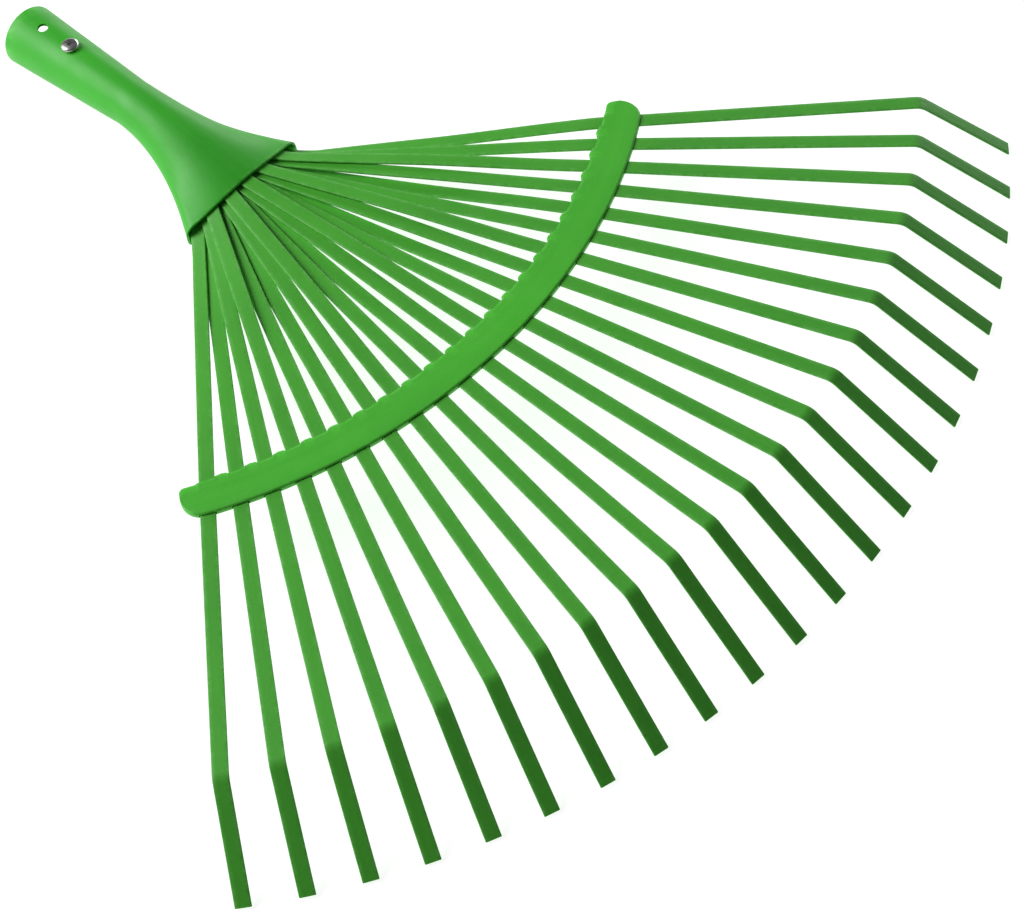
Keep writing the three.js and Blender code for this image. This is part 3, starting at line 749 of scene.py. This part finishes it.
def build_socket():
    half = SOCKET_SHEET / 2
    radius = SHEET_EDGE_RADIUS
    girth_steps = 120
    arc = [math.pi / 2 * i / 4 for i in range(5)]
    walk = [(MOUTH_X + radius * (1 - math.sin(a)), half - radius * (1 - math.cos(a)), 1.0)
            for a in reversed(arc)]
    tube_steps = 10
    walk += [(lerp(MOUTH_X + radius, NECK_X, i / tube_steps), half, 0.0)
             for i in range(1, tube_steps)]
    flare_steps = 40
    walk += [(lerp(NECK_X, FLARE_X - radius, i / flare_steps), half, 0.0)
             for i in range(flare_steps)]
    walk += [(FLARE_X - radius * (1 - math.sin(a)), half - radius * (1 - math.cos(a)), 1.0)
             for a in arc]
    walk += [(x, -offset, near) for x, offset, near in reversed(walk)]
    count = len(walk)
    rings, edge, flow = [], [], []
    for j in range(girth_steps + 1):
        girth = 2 * j / girth_steps - 1
        ring = []
        for x, offset, near in walk:
            normal = sheet_normal(x, girth)
            at_edge = j in (0, girth_steps)
            depth = offset * (SEAM_THINNING if at_edge else 1.0)
            ring.append(sheet_point(x, girth) + normal * depth)
            edge.append(1.0 if at_edge else near)
            flow.append((x * MM, girth * 0.04, offset * MM))
        rings.append(ring)
    points, faces = loft(rings, cap_start=False, cap_end=False)
    last = girth_steps * count
    for i in range(count // 2 - 1):
        a, b = i, i + 1
        c, d = count - 2 - i, count - 1 - i
        faces.append((a, b, c, d))
        faces.append((last + d, last + c, last + b, last + a))
    mesh = new_mesh("socket", points, faces)
    set_point_values(mesh, "edge", edge)
    set_point_vectors(mesh, "flow", flow)
    top = 2 * MOUTH_RADIUS + SOCKET_AXIS_HEIGHT
    cutters = [
        cylinder_mesh(HOLE_DIAMETER, SOCKET_AXIS_HEIGHT, top, Matrix.Translation((HOLE_X, 0, 0))),
        cylinder_mesh(
            SCREW_SHANK_DIAMETER + 2 * FIT,
            SOCKET_AXIS_HEIGHT,
            top,
            Matrix.Translation((SCREW_X, 0, 0)),
        ),
    ]
    for side in (-1, 1):
        cutters.append(rivet_hole(side))
    mesh = cut(mesh, cutters)
    return add_piece(mesh, "rolled_socket", SOCKET_GREEN, "socket", crease=32)


# ---------- clamp plate and rivets ----------
def clamp_middle(x, y):
    return pack_height(x, y) - PACK_HALF - FIT - CLAMP_SHEET / 2


def rivet_place(side):
    lip = sheet_point(FLARE_X - RIVET_SETBACK, side * RIVET_GIRTH)
    rise = clamp_middle(lip.x, lip.y + SLOPE_STEP) - clamp_middle(lip.x, lip.y - SLOPE_STEP)
    tilt = math.atan2(rise, 2 * SLOPE_STEP)
    return lip, Matrix.Translation(lip) @ Matrix.Rotation(tilt, 4, "X")


def rivet_hole(side):
    reach = 2 * (SOCKET_SHEET + CLAMP_SHEET)
    return cylinder_mesh(RIVET_SHANK_DIAMETER + 2 * FIT, -reach, reach, rivet_place(side)[1], 40)


def build_clamp_plate():
    front_x = FLARE_X - CLAMP_FRONT_SETBACK
    steps = 18
    columns = 40
    round_off = 0.35
    rings, edge, flow = [], [], []
    length = front_x - CLAMP_REAR_X
    runs = [0.0, round_off] + [lerp(1, length - 1, i / steps) for i in range(steps + 1)]
    runs += [length - round_off, length]
    for index, run in enumerate(runs):
        x = CLAMP_REAR_X + run
        at_end = index in (0, len(runs) - 1)
        share = run / length
        half_width = fan_half_width(x - share * FLARE_BOW)
        half_sheet = CLAMP_SHEET / 2 - (round_off if at_end else 0)
        side_y = half_width - (round_off if at_end else 0)
        upper = [lerp(-side_y + round_off, side_y - round_off, i / columns)
                 for i in range(columns + 1)]
        ring = [(y, half_sheet, 0.0) for y in upper]
        ring += [(side_y, half_sheet - round_off, 1.0), (side_y, round_off - half_sheet, 1.0)]
        ring += [(y, -half_sheet, 0.0) for y in reversed(upper)]
        ring += [(-side_y, round_off - half_sheet, 1.0), (-side_y, half_sheet - round_off, 1.0)]
        bowed = [(x - share * FLARE_BOW * (y / half_width) ** 2, y, z) for y, z, _ in ring]
        rings.append([Vector((bx, y, clamp_middle(bx, y) + z)) for bx, y, z in bowed])
        edge += [1.0 if at_end else e for _, _, e in ring]
        flow += [(x * MM, y * MM, z * MM) for y, z, _ in ring]
    mesh = new_mesh("clamp_plate", *loft(rings))
    set_point_values(mesh, "edge", edge)
    set_point_vectors(mesh, "flow", flow)
    mesh = cut(mesh, [rivet_hole(side) for side in (-1, 1)])
    return add_piece(mesh, "root_clamp_plate", TINE_GREEN, "clamp_plate")


def lathe(profile, place, segments=48, radius_at=None):
    """Turned piece from (radius, height) pairs, from the bottom point to the top point."""
    rings = []
    for radius, height in profile:
        ring = []
        for i in range(segments):
            a = 2 * math.pi * i / segments
            r = radius_at(radius, height, a) if radius_at else radius
            ring.append(place @ Vector((r * math.cos(a), r * math.sin(a), height)))
        rings.append(ring)
    return loft(rings)


def build_rivet(side, label):
    lip, place = rivet_place(side)
    under = -SOCKET_SHEET / 2 - FIT
    plate_top = clamp_middle(lip.x, lip.y) + CLAMP_SHEET / 2 - lip.z - FIT
    head, shank = RIVET_HEAD_DIAMETER / 2, RIVET_SHANK_DIAMETER / 2
    steps = 12
    profile = []
    for i in range(1, steps + 1):
        a = math.pi / 2 * i / steps
        profile.append((head * math.sin(a), under - RIVET_HEAD_HEIGHT * math.cos(a) ** 0.8
                        if i < steps else under - 0.12))
    profile += [(head - 0.1, under), (shank + 0.1, under), (shank, under + 0.1)]
    profile += [(shank, plate_top - 0.15), (shank - 0.15, plate_top), (0.05, plate_top)]
    profile.insert(0, (0.03, under - RIVET_HEAD_HEIGHT))
    mesh = new_mesh("rivet", *lathe(profile, place))
    return add_piece(mesh, f"domed_rivet_{label}", SOCKET_GREEN, f"lip_rivet_{label}",
                     crease=50)


# ---------- screw ----------
THREAD_PITCH = 1.6
THREAD_CORE = 1.4
RECESS_SPAN = 3.6
RECESS_WIDTH = 0.9
RECESS_DEPTH = 1.2
NECK_SHARE = 0.86  # of the shank radius, between the thread and the head
PLAIN_LENGTH = 1.2  # under the head, without thread
RIM_SHARE = 0.36  # of the head height, below the dome


def build_screw():
    highest = tube_radius(SCREW_X - SCREW_HEAD_DIAMETER / 2)
    seat = SOCKET_AXIS_HEIGHT + highest + SOCKET_SHEET / 2 + FIT
    place = Matrix.Translation((SCREW_X, 0, seat))
    head, shank = SCREW_HEAD_DIAMETER / 2, SCREW_SHANK_DIAMETER / 2

    def thread(radius, height, angle):
        if height > -PLAIN_LENGTH or height <= 0.2 - SCREW_LENGTH:
            return radius
        taper = clamp((height + SCREW_LENGTH) / SCREW_POINT_LENGTH, 0.05, 1)
        fade = smoothstep(-height, PLAIN_LENGTH, 2 * PLAIN_LENGTH)
        phase = (height / THREAD_PITCH - angle / (2 * math.pi)) % 1.0
        crest = max(0.0, 1 - abs(phase - 0.5) / 0.22)
        core = lerp(shank * NECK_SHARE, THREAD_CORE, fade)
        return lerp(core, shank, crest * fade) * taper

    rows = 150
    profile = [(0.04, -SCREW_LENGTH)]
    profile += [
        (shank, lerp(-SCREW_LENGTH + 0.25, -PLAIN_LENGTH, i / rows)) for i in range(rows + 1)
    ]
    neck = shank * NECK_SHARE
    profile += [(neck, -PLAIN_LENGTH + 0.05), (neck, -0.25), (shank, 0.0)]
    profile += [(head - 0.15, 0.0), (head, 0.15)]
    rim = SCREW_HEAD_HEIGHT * RIM_SHARE
    dome_steps = 14
    for i in range(dome_steps):
        a = math.pi / 2 * i / dome_steps
        profile.append((head * math.cos(a) ** 0.75, rim + (SCREW_HEAD_HEIGHT - rim) * math.sin(a)))
    profile.append((0.03, SCREW_HEAD_HEIGHT))
    points, faces = lathe(profile, place, 48, thread)
    cutters = []
    for turn in (math.pi / 4, 3 * math.pi / 4):
        spin = place @ Matrix.Translation((0, 0, SCREW_HEAD_HEIGHT)) @ Matrix.Rotation(turn, 4, "Z")
        rings = []
        for z, grow in ((-RECESS_DEPTH, 0.45), (0.3, 1.0)):
            a, b = RECESS_SPAN / 2 * grow, RECESS_WIDTH / 2 * lerp(0.8, 1, grow)
            corners = ((a, b), (-a, b), (-a, -b), (a, -b))
            rings.append([spin @ Vector((x, y, z)) for x, y in corners])
        cutters.append(new_mesh("recess", *loft(rings)))
    mesh = cut(new_mesh("screw", points, faces), cutters)
    return add_piece(mesh, "cross_head_screw", ZINC, "handle_screw",
                     body="fixing_screw", crease=40)


for index in range(TINE_COUNT):
    build_tine(index)
build_crossbar()
build_socket()
build_clamp_plate()
build_rivet(1, "left")
build_rivet(-1, "right")
build_screw()


# ---------- floor ----------
FLOOR_HALF = 6.0  # metres
FLOOR_DROP = 0.0004  # keeps the floor clear of the tips and the mouth


def build_floor():
    corners = ((-1, -1), (1, -1), (1, 1), (-1, 1))
    points = [(x * FLOOR_HALF, y * FLOOR_HALF, -FLOOR_DROP) for x, y in corners]
    mesh = bpy.data.meshes.new("floor")
    mesh.from_pydata(points, [], [(0, 1, 2, 3)])
    floor = bpy.data.objects.new("floor", mesh)
    bpy.context.scene.collection.objects.link(floor)
    material, tree, shader = node_tree("pale_floor")
    shader.inputs["Base Color"].default_value = (0.42, 0.42, 0.42, 1)
    shader.inputs["Roughness"].default_value = 0.9
    shader.inputs["Specular IOR Level"].default_value = 0.1
    shader.inputs["Emission Color"].default_value = (1, 1, 1, 1)
    shader.inputs["Emission Strength"].default_value = 0.85
    mesh.materials.append(material)


build_floor()


# ---------- light ----------
def area_light(name, place, aim, size, power):
    data = bpy.data.lights.new(name, "AREA")
    data.shape = "RECTANGLE"
    data.size, data.size_y = size
    data.energy = power
    light = bpy.data.objects.new(name, data)
    bpy.context.scene.collection.objects.link(light)
    light.location = place
    light.rotation_mode = "QUATERNION"
    light.rotation_quaternion = (Vector(aim) - Vector(place)).to_track_quat("-Z", "Y")


area_light("key", (-1.56, -0.97, 1.38), (0, 0, 0), (1.5, 1.5), 54)
area_light("left_panel", (-0.9, -1.7, 0.2), (0, 0, 0), (1.6, 0.5), 3)
area_light("right_panel", (-0.6, 1.9, 0.4), (0, 0, 0), (1.8, 0.6), 20)

world = bpy.data.worlds.new("studio")
world.use_nodes = True
world.node_tree.nodes["Background"].inputs["Color"].default_value = (0.9, 0.95, 1, 1)
world.node_tree.nodes["Background"].inputs["Strength"].default_value = 0.08
bpy.context.scene.world = world
bpy.context.scene.view_settings.view_transform = "Standard"


# ---------- camera ----------
CAMERA_LENS = 95.64
CAMERA_DISTANCE = 1008.46
CAMERA_AZIMUTH = math.radians(-37.064)
CAMERA_ELEVATION = math.radians(53.722)
CAMERA_ROLL = math.radians(-12.397)
CAMERA_TARGET = Vector((212.404, -32.904, 0))


def build_camera():
    flat = math.cos(CAMERA_ELEVATION)
    back = Vector((
        math.cos(CAMERA_AZIMUTH) * flat,
        math.sin(CAMERA_AZIMUTH) * flat,
        math.sin(CAMERA_ELEVATION),
    ))
    level = (-back).cross(Vector((0, 0, 1))).normalized()
    upright = level.cross(-back)
    right = level * math.cos(CAMERA_ROLL) + upright * math.sin(CAMERA_ROLL)
    top = -level * math.sin(CAMERA_ROLL) + upright * math.cos(CAMERA_ROLL)
    data = bpy.data.cameras.new("camera")
    data.sensor_width = 36
    data.lens = CAMERA_LENS
    data.clip_start = 0.05
    data.clip_end = 30
    camera = bpy.data.objects.new("camera", data)
    bpy.context.scene.collection.objects.link(camera)
    turn = FAN_TURN @ Matrix((right, top, back)).transposed()
    place = TO_ROW @ (CAMERA_TARGET + back * CAMERA_DISTANCE)
    camera.matrix_world = Matrix.Translation(place) @ turn.to_4x4()
    bpy.context.scene.camera = camera


build_camera()

bpy.context.view_layer.update()
